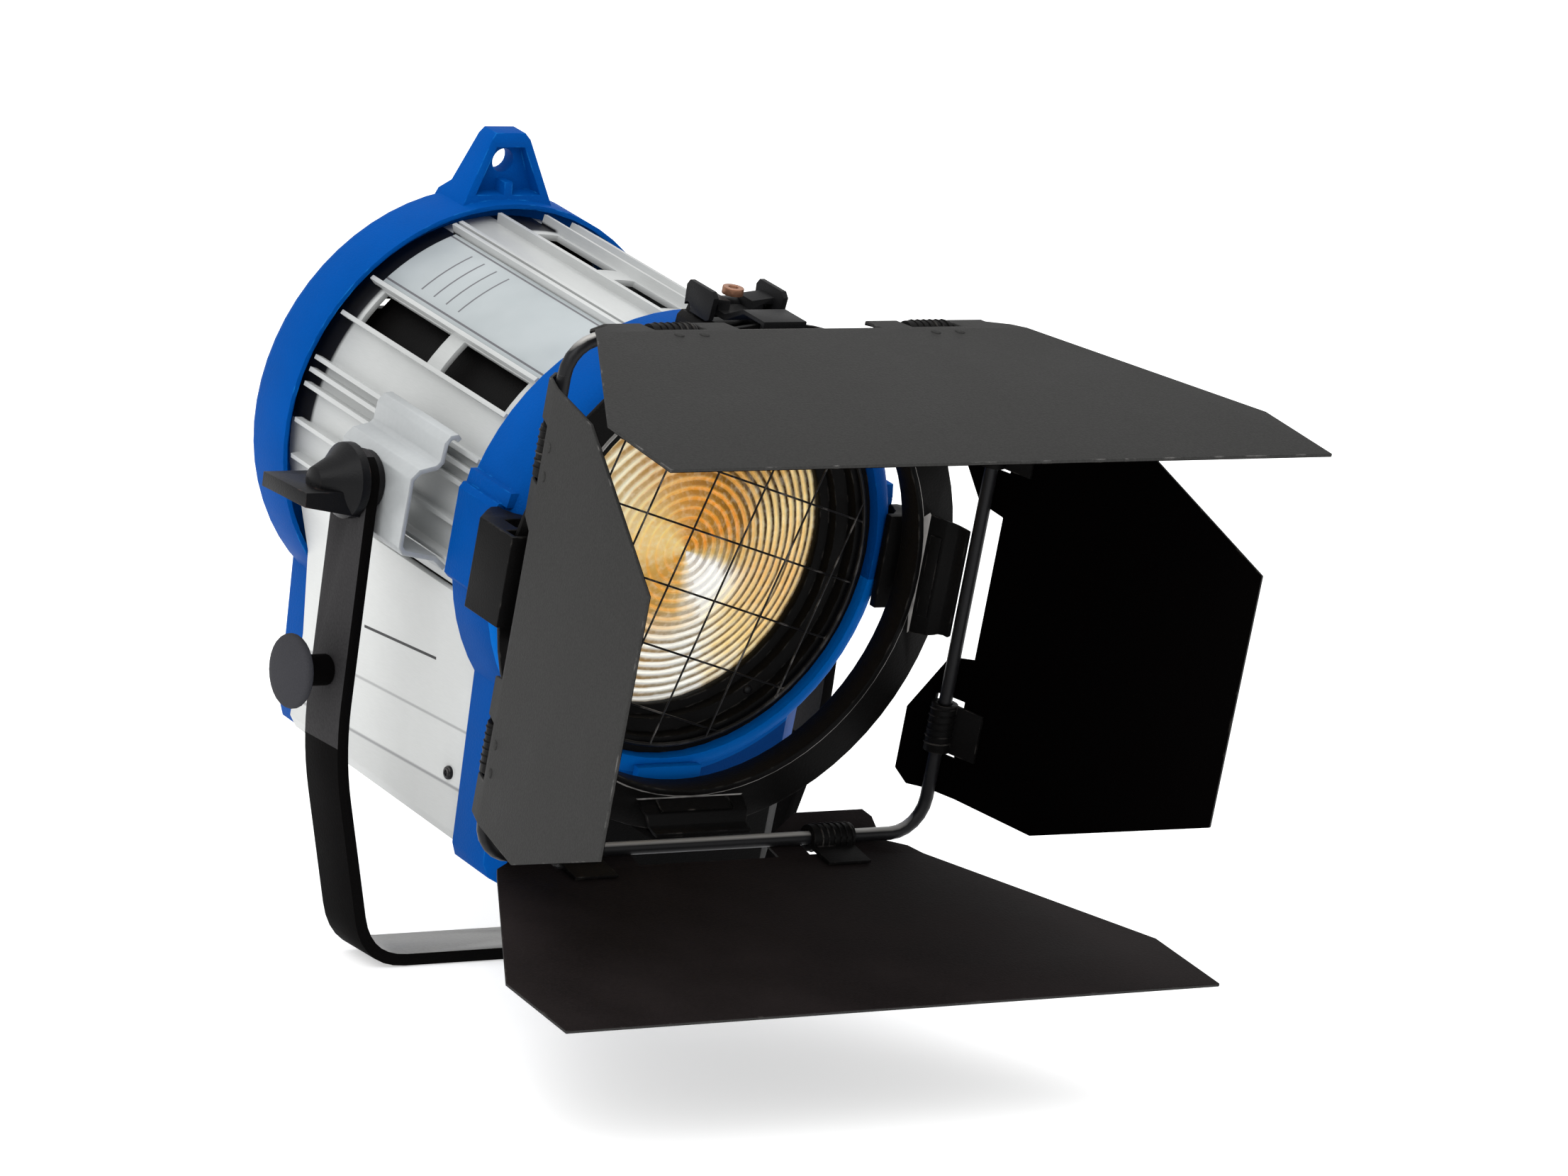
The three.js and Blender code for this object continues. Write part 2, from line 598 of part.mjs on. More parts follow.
// ---- top latch ----
const LATCH_Z = 79.5;
const latchBase = cut(
  prismXZ([
    ...arc(FRONT_R + GAP, 78.5, 101.5, 8).reverse(), [14.4, 76], [13, 77.6], [-13, 77.6], [-14.4, 76],
  ], -11, 4),
  box(-9, 9, -12, 14, 75.4, 90),
);
const latchEars = [-1, 1].map((side) => prismYZ(
  [[-4, 76.8], [4, 76.8], ...arc(3, 0, 180, 8, 0, LATCH_Z)],
  Math.min(side * 9.3, side * 11.7), Math.max(side * 9.3, side * 11.7)));
const latchBore = rodX(1.8, 0, LATCH_Z, -20, 20, 12);
placeHead('latch_base', cut(join(latchBase, latchEars), latchBore), BLACK);
placeHead('latch_pin', rodX(1.5, 0, LATCH_Z, -11.9, 11.9, 12), STEEL);
const latchArm = join(
  prismYZ([
    [6, 79.2], [6, 81.2], [-12, 81.2], [-21, 85.7], [-33, 85.7], [-33, 81.4], [-31.2, 81.4], [-31.2, 84.4],
    [-21.6, 84.4], [-12.6, 79.4], [-12, 79.2],
  ], -8, 8),
  rodX(3.2, 0, LATCH_Z, -8, 8, 20),
);
// Two upright finger plates outside the ears, each on a bridge that passes over its ear.
const wing = (side) => join(
  prismXZ([
    [4, 80.6], [8.6, 80.6], [8.6, 83], [12.6, 83], [12.6, 85.2], [4, 84.2],
  ].map((p) => [side * p[0], p[1]]), -8.5, -0.5),
  prismYZ(
    [[1.6, 78.8], [2.2, 86.4], [0.8, 88.3], [-11.6, 88.3], [-13.3, 86.6], [-12.4, 79.4], [-10.8, 78.6]],
    Math.min(side * 12.2, side * 14), Math.max(side * 12.2, side * 14)),
);
placeHead('latch_lever', cut(join(latchArm, wing(-1), wing(1)), latchBore), PLASTIC);
placeHead('latch_bolt', cut(
  rodZ(3.4, 0, -3, 84.6, 87, 20),
  rodZ(1.8, 0, -3, 85.4, 88, 6),
), COPPER);

// ---- barndoor ring and hinge frame ----
const ringBody = solid(turned([
  [RING_STEP_R, RING_FRONT], [RING_R, RING_FRONT], [RING_R, RING_BACK], [RING_STEP_R, RING_BACK],
  [RING_STEP_R, -20.6], [RING_BORE, -20.6], [RING_BORE, RING_FRONT - 1],
  [RING_STEP_R, RING_FRONT - 1], [RING_STEP_R, RING_FRONT],
], 72));
const tabPath = [
  [-29, 73.4], [-30.6, 73.8], [-34.6, 76.2], [-35.4, 78], [-36, 79.6], [-38, 80.6], [-40.4, 80.8],
];
function ringTab(turn) {
  const plate = prismYZ(strip(tabPath, 1.4), -40, 40);
  const plan = mirrorOutline([[20, 72], [18.8, 78], [17.5, 82]]);
  return plate.intersect(prismXZ(plan, -50, 0)).rotate([0, turn, 0]);
}
placeHead('barndoor_ring', join(ringBody, [0, 90, 180, 270].map(ringTab)), BLACK);

// A closed loop of round wire, square with rounded corners.
const wire = [];
const straight = FRAME_HALF - FRAME_CORNER;
for (let i = 0; i < 4; i++) {
  const turn = i * 90;
  const from = -straight - 0.5;
  wire.push(rodX(ROD_R, FRAME_Y, FRAME_HALF, from, straight + 0.5, 12).rotate([0, turn, 0]));
  const quarter = new THREE.EllipseCurve(straight, straight, FRAME_CORNER, FRAME_CORNER, 0, Math.PI / 2);
  const points = quarter.getPoints(6).map((p) => new THREE.Vector3(p.x, FRAME_Y, p.y));
  const line = new THREE.CatmullRomCurve3(points);
  const disc = new THREE.Shape(arc(ROD_R, 0, 330, 11).map((p) => new THREE.Vector2(p[0], p[1])));
  wire.push(solid(new THREE.ExtrudeGeometry(disc, { steps: 6, extrudePath: line, bevelEnabled: false }))
    .rotate([0, turn, 0]));
}
placeHead('hinge_frame', join(wire), STEEL);

// ---- leaves ----
// Drawn flat: X along the hinge, Y outward from it, Z away from the beam. The rod is the X axis.
const LIP = 2.6;
const FOLD = 8;
const TAB_FOLD = 33;
const foldRise = FOLD * Math.tan(deg(8));
const kneeRise = LIP + SHEET / 2 - 3 * Math.tan(deg(8));
const leafSection = [
  [-17, kneeRise - 14 * Math.tan(deg(TAB_FOLD))],
  [-3, kneeRise],
  [FOLD, LIP + foldRise + SHEET / 2],
  [140, LIP + foldRise + SHEET / 2],
];

const wideHalf = [
  [26.5, 5.5], [26.5, -3.5], [42, -11.8], [68.5, -11.8], [71, -9.3], [71, -1], [78, 3], [122, 80], [122, 114.5],
];
const narrowHalf = [
  [24, 5.5], [26, -3.5], [45, -12.2], [66, -12.2], [70.5, -8.5], [70.5, 41], [41.5, 110],
];

function clipSlot(centre) {
  return box(centre - 9.5, centre + 9.5, -5, 5, -10, 10);
}

function leafBlank(half, slotAt) {
  const outline = prismXY(mirrorOutline(half), -5, 12);
  const sheet = prismYZ(strip(leafSection, SHEET), -140, 140);
  return cut(outline.intersect(sheet), clipSlot(slotAt), clipSlot(-slotAt));
}

function leafClip(centre) {
  const barrel = rodX(4.3, 0, 0, centre - 8, centre + 8, 20);
  const flange = prismYZ([[2, 1.2], [14, 2.4], [14, 3.3], [2.6, 2.5]], centre - 8, centre + 8);
  return cut(join(barrel, flange), rodX(ROD_R + GAP, 0, 0, centre - 9, centre + 9, 20));
}

function leafMatrix(out, open) {
  const axisOut = new THREE.Vector3(...out);
  const forward = new THREE.Vector3(0, -1, 0);
  const along = forward.clone().multiplyScalar(Math.cos(deg(open)))
    .add(axisOut.clone().multiplyScalar(Math.sin(deg(open))));
  const away = axisOut.clone().multiplyScalar(Math.cos(deg(open)))
    .sub(forward.clone().multiplyScalar(Math.sin(deg(open))));
  const side = along.clone().cross(away);
  const hinge = axisOut.clone().multiplyScalar(FRAME_HALF).add(new THREE.Vector3(0, FRAME_Y, 0));
  const m = new THREE.Matrix4().makeBasis(side, along, away).setPosition(hinge);
  return headMatrix.clone().multiply(m);
}

const leaves = [
  ['top', [0, 0, 1], OPEN_TOP, wideHalf, 48],
  ['bottom', [0, 0, -1], OPEN_BOTTOM, wideHalf, 48],
  ['left', [-1, 0, 0], OPEN_LEFT, narrowHalf, 48],
  ['right', [1, 0, 0], OPEN_RIGHT, narrowHalf, 48],
];
for (const [name, out, open, half, slotAt] of leaves) {
  const m = leafMatrix(out, open);
  add('leaf_' + name, leafBlank(half, slotAt), SHEET_BLACK, m);
  add('hinge_clip_' + name + '_a', leafClip(-slotAt), BLACK, m);
  add('hinge_clip_' + name + '_b', leafClip(slotAt), BLACK, m);
}

export default group;
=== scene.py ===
"""Fresnel spotlight with a four-leaf barndoor: the finished look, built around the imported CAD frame."""

import json
import math

import bmesh
import bpy
from mathutils import Matrix, Vector


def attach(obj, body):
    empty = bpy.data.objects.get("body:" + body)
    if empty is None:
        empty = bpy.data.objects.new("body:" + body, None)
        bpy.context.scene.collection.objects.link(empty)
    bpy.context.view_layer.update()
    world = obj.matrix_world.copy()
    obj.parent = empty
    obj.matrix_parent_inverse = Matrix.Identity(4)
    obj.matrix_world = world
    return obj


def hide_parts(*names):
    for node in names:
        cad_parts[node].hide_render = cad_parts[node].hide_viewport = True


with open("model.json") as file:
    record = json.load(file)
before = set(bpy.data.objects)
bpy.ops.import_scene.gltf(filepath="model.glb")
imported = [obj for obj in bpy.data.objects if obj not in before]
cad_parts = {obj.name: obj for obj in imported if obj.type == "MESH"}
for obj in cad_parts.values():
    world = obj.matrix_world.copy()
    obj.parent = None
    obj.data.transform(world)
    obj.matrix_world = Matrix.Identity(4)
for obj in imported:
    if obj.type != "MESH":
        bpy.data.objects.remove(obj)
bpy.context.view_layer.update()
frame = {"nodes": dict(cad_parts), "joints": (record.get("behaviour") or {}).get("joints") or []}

# ---- the two drawing frames, both in millimetres ----
# BASE is the row frame. HEAD is the lamp's own frame, tilted with the lamp: the optical axis lies along Y,
# the lens faces -Y, and zero is on the axis, inside the lens. LAMP_ZERO is that point from the tilt axis.
JOINTS = {joint["name"]: joint for joint in frame["joints"]}
BASE = Matrix.Scale(0.001, 4)
HEAD_TILT = math.radians(4.5)
LAMP_ZERO = (0, -0.047, -0.0075)
HEAD = (
    Matrix.Translation(JOINTS["head_tilt"]["pos_m"])
    @ Matrix.Rotation(HEAD_TILT, 4, "X")
    @ Matrix.Translation(LAMP_ZERO)
    @ BASE
)
# the hinge wires lie FRAME_HALF from the axis; each leaf opens so many degrees outward from straight ahead
FRAME_HALF = 84
FRAME_Y = -41
LEAF_OPEN = {"top": -2.5, "bottom": 1.7, "left": 14, "right": 12.2}
LEAF_OUT = {"top": (0, 0, 1), "bottom": (0, 0, -1), "left": (-1, 0, 0), "right": (1, 0, 0)}


def leaf_frame(side):
    """X along the hinge rod, Y outward along the sheet, Z away from the beam."""
    out = Vector(LEAF_OUT[side])
    forward = Vector((0, -1, 0))
    angle = math.radians(LEAF_OPEN[side])
    along = forward * math.cos(angle) + out * math.sin(angle)
    away = out * math.cos(angle) - forward * math.sin(angle)
    across = along.cross(away)
    place = Matrix((across, along, away)).transposed().to_4x4()
    place.translation = out * FRAME_HALF + Vector((0, FRAME_Y, 0))
    return HEAD @ place


# ---- mesh kit ----
def add_object(name, data):
    obj = bpy.data.objects.new(name, data)
    bpy.context.scene.collection.objects.link(obj)
    return obj


def polar(radius, angle):
    return radius * math.cos(math.radians(angle)), radius * math.sin(math.radians(angle))


def from_node(name, place):
    """The CAD node's solid as a bmesh in the given frame, welded, with its flat faces whole again."""
    bm = bmesh.new()
    bm.from_mesh(frame["nodes"][name].data)
    bm.transform(place.inverted())
    bmesh.ops.remove_doubles(bm, verts=bm.verts, dist=0.002)
    bmesh.ops.dissolve_limit(
        bm, angle_limit=math.radians(0.6), verts=bm.verts, edges=bm.edges, use_dissolve_boundaries=False
    )
    return bm


def bevel(bm, width, segments=2, angle=30, keep=None):
    """Rounds every edge that is sharper than the angle, or the ones that keep() picks."""
    edges = []
    for edge in bm.edges:
        if len(edge.link_faces) != 2:
            continue
        sharp = math.degrees(edge.calc_face_angle(0))
        if sharp > angle and (keep is None or keep(edge)):
            edges.append(edge)
    bmesh.ops.bevel(
        bm, geom=edges, offset=width, offset_type="OFFSET", segments=segments, profile=0.5,
        affect="EDGES", clamp_overlap=True, harden_normals=False,
    )
    return bm


def lathe(profile, segments):
    """Turns a closed outline of (radius, y) round the Y axis."""
    bm = bmesh.new()
    rings = []
    for i in range(segments):
        angle = 2 * math.pi * i / segments
        c, s = math.cos(angle), math.sin(angle)
        rings.append([bm.verts.new((r * c, y, r * s)) for r, y in profile])
    for i in range(segments):
        here, after = rings[i], rings[(i + 1) % segments]
        for k in range(len(profile)):
            nxt = (k + 1) % len(profile)
            bm.faces.new((here[k], after[k], after[nxt], here[nxt]))
    bmesh.ops.remove_doubles(bm, verts=bm.verts, dist=0.0001)
    return bm


# a direction that no wire runs along
ASIDE = Vector((0.31, 0.17, 0.93))


def tube(path, radius, sides=8, closed=False):
    """A round wire that follows a list of points, in millimetres."""
    bm = bmesh.new()
    points = [Vector(p) for p in path]
    count = len(points)
    rings = []
    for i, point in enumerate(points):
        before = points[i - 1] if closed or i else points[i]
        after = points[(i + 1) % count] if closed or i < count - 1 else points[i]
        along = (after - before).normalized()
        side = along.cross(ASIDE).normalized()
        other = along.cross(side)
        ring = []
        for k in range(sides):
            angle = 2 * math.pi * k / sides
            ring.append(bm.verts.new(point + radius * (math.cos(angle) * side + math.sin(angle) * other)))
        rings.append(ring)
    for i in range(count if closed else count - 1):
        here, after = rings[i], rings[(i + 1) % count]
        for k in range(sides):
            bm.faces.new((here[k], here[(k + 1) % sides], after[(k + 1) % sides], after[k]))
    if not closed:
        bm.faces.new(rings[0])
        bm.faces.new(list(reversed(rings[-1])))
    return bm


def merged(*parts):
    """One bmesh holding all the given ones."""
    out = bmesh.new()
    for part in parts:
        scratch = bpy.data.meshes.new("scratch")
        part.to_mesh(scratch)
        part.free()
        out.from_mesh(scratch)
        bpy.data.meshes.remove(scratch)
    return out


def aimed(bm, at, axis, spin=0.0):
    """Turns a bmesh drawn with its axis along +Z so that it points along axis, and moves it to at."""
    turn = Vector((0, 0, 1)).rotation_difference(Vector(axis)).to_matrix().to_4x4()
    bm.transform(Matrix.Translation(at) @ turn @ Matrix.Rotation(spin, 4, "Z"))
    return bm


def rivet(at, axis, radius, height):
    """A domed rivet head standing on its base."""
    steps = 4
    profile = [(0.0, -0.6), (radius, -0.6), (radius, height * 0.25)]
    for i in range(1, steps + 1):
        angle = math.pi / 2 * i / steps
        profile.append((radius * math.cos(angle), height * (0.25 + 0.75 * math.sin(angle))))
    bm = lathe(profile, 16)
    bm.transform(Matrix.Rotation(math.pi / 2, 4, "X"))
    return aimed(bm, at, axis)


def screw(at, axis, radius, height, spin=0.3):
    """A pan head with a cross recess."""
    deep = height * 0.45
    profile = [
        (0.0, -0.8), (radius, -0.8), (radius, height * 0.45), (radius * 0.9, height * 0.8),
        (radius * 0.6, height), (radius * 0.5, height), (radius * 0.42, height - deep),
        (0.0, height - deep * 1.1),
    ]
    bm = lathe(profile, 20)
    bm.transform(Matrix.Rotation(math.pi / 2, 4, "X"))
    for long, wide in ((radius * 0.2, radius), (radius, radius * 0.2)):
        bar = bmesh.new()
        bmesh.ops.create_cube(bar, size=1)
        size = Matrix.Diagonal((long, wide, deep * 0.4, 1))
        bar.transform(Matrix.Translation((0, 0, height - deep * 0.75)) @ size)
        bm = merged(bm, bar)
    return aimed(bm, at, axis, spin)


def piece(name, bm, place, look, body, replaces=(), smooth=38):
    """Makes a finished piece from a bmesh that is drawn in the given frame.

    Edges sharper than smooth, in degrees, stay sharp in the shading.
    """
    bm.transform(place)
    bmesh.ops.recalc_face_normals(bm, faces=bm.faces)
    limit = math.radians(smooth)
    for face in bm.faces:
        face.smooth = True
    for edge in bm.edges:
        edge.smooth = len(edge.link_faces) == 2 and edge.calc_face_angle(0) < limit
    mesh = bpy.data.meshes.new(name)
    bm.to_mesh(mesh)
    bm.free()
    obj = add_object(name, mesh)
    for one in look if isinstance(look, (list, tuple)) else [look]:
        mesh.materials.append(one)
    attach(obj, body)
    if replaces:
        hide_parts(*replaces)
    return obj


# ---- materials ----
def new_material(name):
    material = bpy.data.materials.new(name)
    material.use_nodes = True
    tree = material.node_tree
    return material, tree, tree.nodes["Principled BSDF"]


def node(tree, kind, **values):
    made = tree.nodes.new(kind)
    for key, value in values.items():
        if hasattr(made, key):
            setattr(made, key, value)
        else:
            made.inputs[key].default_value = value
    return made


def noise(tree, coords, scale, detail=2.0, stretch=None):
    """A noise texture on object coordinates, in metres; scale is in features per metre."""
    source = coords
    if stretch:
        mapping = node(tree, "ShaderNodeMapping")
        mapping.inputs["Scale"].default_value = stretch
        tree.links.new(coords, mapping.inputs["Vector"])
        source = mapping.outputs["Vector"]
    texture = node(tree, "ShaderNodeTexNoise", Scale=scale, Detail=detail)
    tree.links.new(source, texture.inputs["Vector"])
    return texture.outputs["Fac"]


def remap(tree, value, low, high, from_low=0.3, from_high=0.7):
    mapped = node(tree, "ShaderNodeMapRange")
    tree.links.new(value, mapped.inputs["Value"])
    for key, number in (("From Min", from_low), ("From Max", from_high), ("To Min", low), ("To Max", high)):
        mapped.inputs[key].default_value = number
    return mapped.outputs["Result"]


def mix(tree, fac, a, b):
    """Mixes two colours; each is a socket or an (r, g, b)."""
    made = node(tree, "ShaderNodeMix", data_type="RGBA")
    tree.links.new(fac, made.inputs["Factor"])
    for socket, value in ((made.inputs[6], a), (made.inputs[7], b)):
        if isinstance(value, tuple):
            socket.default_value = (*value, 1)
        else:
            tree.links.new(value, socket)
    return made.outputs[2]


def object_coords(tree):
    return node(tree, "ShaderNodeTexCoord").outputs["Object"]


def head_coords(tree):
    """Shader coordinates in the head's own frame, in millimetres."""
    coords = object_coords(tree)
    back = HEAD.inverted()
    mapping = node(tree, "ShaderNodeMapping")
    mapping.inputs["Location"].default_value = back.translation
    mapping.inputs["Rotation"].default_value = back.to_quaternion().to_euler("XYZ")
    mapping.inputs["Scale"].default_value = back.to_scale()
    tree.links.new(coords, mapping.inputs["Vector"])
    split = node(tree, "ShaderNodeSeparateXYZ")
    tree.links.new(mapping.outputs["Vector"], split.inputs[0])
    return split.outputs


def calc(tree, operation, *values):
    made = node(tree, "ShaderNodeMath", operation=operation)
    for socket, value in zip(made.inputs, values):
        if isinstance(value, (int, float)):
            socket.default_value = value
        else:
            tree.links.new(value, socket)
    return made.outputs[0]


def product(tree, *values):
    """All the values multiplied together, as a mask that is one only where each of them is."""
    made = values[0]
    for value in values[1:]:
        made = calc(tree, "MULTIPLY", made, value)
    return made


def between(tree, value, low, high):
    """A mask that is one where the value lies between the two numbers."""
    return product(tree, calc(tree, "GREATER_THAN", value, low), calc(tree, "LESS_THAN", value, high))


def axis_radius(tree, x, z):
    """Distance from the optical axis, in millimetres."""
    return calc(tree, "SQRT", calc(tree, "ADD", calc(tree, "MULTIPLY", x, x), calc(tree, "MULTIPLY", z, z)))


def axis_angle(tree, x, z):
    """Angle round the optical axis, in degrees: zero points right and 90 up."""
    return calc(tree, "MULTIPLY", calc(tree, "ARCTAN2", z, x), 180 / math.pi)


def ramp(tree, value, stops):
    made = node(tree, "ShaderNodeValToRGB")
    tree.links.new(value, made.inputs[0])
    elements = made.color_ramp.elements
    while len(elements) < len(stops):
        elements.new(0.5)
    for element, (at, colour) in zip(elements, stops):
        element.position = at
        element.color = (*colour, 1)
    return made.outputs[0]


def scaled(colour, factor):
    return tuple(min(1.0, channel * factor) for channel in colour)


def coated(name, colour, rough, metal=0.0, specular=0.3, grain=1500, depth=0.2, blotch=0.12, speckle=0.15,
           edge_wear_and_glint=None, edge_wear_and_glint_amount=0.5, stretch=None, marks=None):
    """A paint, plastic or metal finish: blotches, fine speckle, grain in the bump, and worn edges that also
    carry a painted glint where edges catch the light.

    marks(tree, colour) may add more to the colour.
    """
    material, tree, shader = new_material(name)
    coords = object_coords(tree)
    wide = noise(tree, coords, 28, 3.0)
    fine = noise(tree, coords, grain, 1.0, stretch)
    toned = mix(tree, remap(tree, wide, 0, 1), scaled(colour, 1 - blotch), scaled(colour, 1 + blotch))
    dotted = mix(tree, remap(tree, fine, 0, speckle), toned, scaled(colour, 1.9))
    base = dotted
    rough_socket = remap(tree, wide, rough - 0.06, rough + 0.06)
    # the edge colour stands both for worn edges and for a painted glint where they catch the light
    if edge_wear_and_glint:
        rounded = node(tree, "ShaderNodeBevel", samples=4, Radius=0.0007)
        plain = node(tree, "ShaderNodeNewGeometry")
        dot = node(tree, "ShaderNodeVectorMath", operation="DOT_PRODUCT")
        tree.links.new(rounded.outputs["Normal"], dot.inputs[0])
        tree.links.new(plain.outputs["Normal"], dot.inputs[1])
        edge = remap(tree, dot.outputs["Value"], 1, 0, 0.90, 0.985)
        patches = noise(tree, coords, 160, 4.0)
        patch = remap(tree, patches, 0, 1, 0.62 - 0.25 * edge_wear_and_glint_amount, 0.72 - 0.2 * edge_wear_and_glint_amount)
        base = mix(tree, product(tree, edge, patch), dotted, edge_wear_and_glint)
    if marks:
        base = marks(tree, base)
    tree.links.new(base, shader.inputs["Base Color"])
    tree.links.new(rough_socket, shader.inputs["Roughness"])
    shader.inputs["Metallic"].default_value = metal
    shader.inputs["Specular IOR Level"].default_value = specular
    bump = node(tree, "ShaderNodeBump", Strength=depth, Distance=0.0004)
    tree.links.new(fine, bump.inputs["Height"])
    tree.links.new(bump.outputs["Normal"], shader.inputs["Normal"])
    return material


# the lighter blue on the casting's edges is a painted glint along them
BLUE_COAT = {
    "colour": (0.0, 0.056, 0.262), "rough": 0.55, "specular": 0.02, "grain": 1400, "depth": 0.3,
    "blotch": 0.10, "speckle": 0.05, "edge_wear_and_glint": (0.01, 0.18, 0.52), "edge_wear_and_glint_amount": 0.4,
}
BLUE = coated("blue_powder_coat", **BLUE_COAT)
STEEL = coated("zinc_steel", (0.36, 0.36, 0.37), 0.3, metal=0.9, grain=700, depth=0.08, blotch=0.15)
DARK = {
    "colour": (0.010, 0.010, 0.011), "rough": 0.4, "metal": 0.3, "specular": 0.2, "grain": 900, "depth": 0.1,
    "blotch": 0.2,
}
DARK_STEEL = coated("blackened_steel", edge_wear_and_glint=(0.2, 0.19, 0.18), edge_wear_and_glint_amount=0.4, **DARK)
BLACK = coated("black_paint", (0.0032, 0.003, 0.003), 0.5, specular=0.07, grain=1500, depth=0.2,
               edge_wear_and_glint=(0.07, 0.065, 0.06), edge_wear_and_glint_amount=0.4)
STIRRUP_FACE = coated("stirrup_face_paint", (0.026, 0.025, 0.026), 0.65, specular=0.05, grain=1100, depth=0.3,
                      speckle=0.25)
# painted shade for the stirrup's edges and for its arms below the knee
STIRRUP_PAINTED_SHADE = coated("stirrup_painted_shade", (0.002, 0.0018, 0.0018), 0.7, specular=0.02, grain=1100,
                      depth=0.2)
# a painted sheen on the top of the bar
STIRRUP_PAINTED_SHEEN = coated("stirrup_bar_painted_sheen", (0.22, 0.215, 0.205), 0.35, specular=0.5, grain=1100, depth=0.15)
# worn edge and painted highlight along the ring's step
STEP_WEAR_AND_HIGHLIGHT = coated("ring_step_wear_and_highlight", (0.26, 0.25, 0.24), 0.4, specular=0.4, grain=300, depth=0.2, blotch=0.8,
                    speckle=0.6)
LEAF_OUTER = coated("leaf_paint_outer", (0.0265, 0.0262, 0.0255), 0.7, specular=0.05, grain=1300, depth=0.3,
                    speckle=0.3, blotch=0.07, edge_wear_and_glint=(0.16, 0.155, 0.15), edge_wear_and_glint_amount=0.3)
# painted shade: the nearly black inner faces of the leaves
LEAF_INNER_PAINTED_SHADE = coated("leaf_inner_painted_shade", (0.0008, 0.0006, 0.0006), 0.8, specular=0.01, grain=1300, depth=0.3,
                    speckle=0.3, edge_wear_and_glint=(0.05, 0.045, 0.04), edge_wear_and_glint_amount=0.2)
# painted light: the bottom leaf's inner face, lit from above
LIT_LEAF_FLOOR = coated("leaf_inner_painted_light", (0.0105, 0.0083, 0.0083), 0.75, specular=0.04, grain=1300,
                    depth=0.3, blotch=0.35, speckle=0.3, edge_wear_and_glint=(0.06, 0.055, 0.05), edge_wear_and_glint_amount=0.2)
PLASTIC = coated("black_plastic", (0.005, 0.005, 0.0055), 0.5, specular=0.12, grain=2200, depth=0.2)
LEVER = coated("lever_plastic", (0.0035, 0.0035, 0.004), 0.42, specular=0.12, grain=2200, depth=0.2,
               edge_wear_and_glint=(0.06, 0.04, 0.035), edge_wear_and_glint_amount=0.3)
RUBBER = coated("rubber_grey", (0.032, 0.032, 0.036), 0.8, specular=0.05, grain=1800, depth=0.3)
CERAMIC = coated("white_ceramic", (0.75, 0.73, 0.66), 0.7, grain=900, depth=0.1)
COPPER = coated("tarnished_copper", (0.26, 0.13, 0.08), 0.42, metal=0.7, grain=900, depth=0.15, blotch=0.35)
MIRROR = coated("reflector_mirror", (0.85, 0.85, 0.86), 0.12, metal=1.0, grain=300, depth=0.05, blotch=0.03)
BULB = coated("lamp_envelope", (0.8, 0.8, 0.78), 0.08, specular=0.6, grain=200, depth=0.03, blotch=0.03)


LENS_PITCH = 3.2


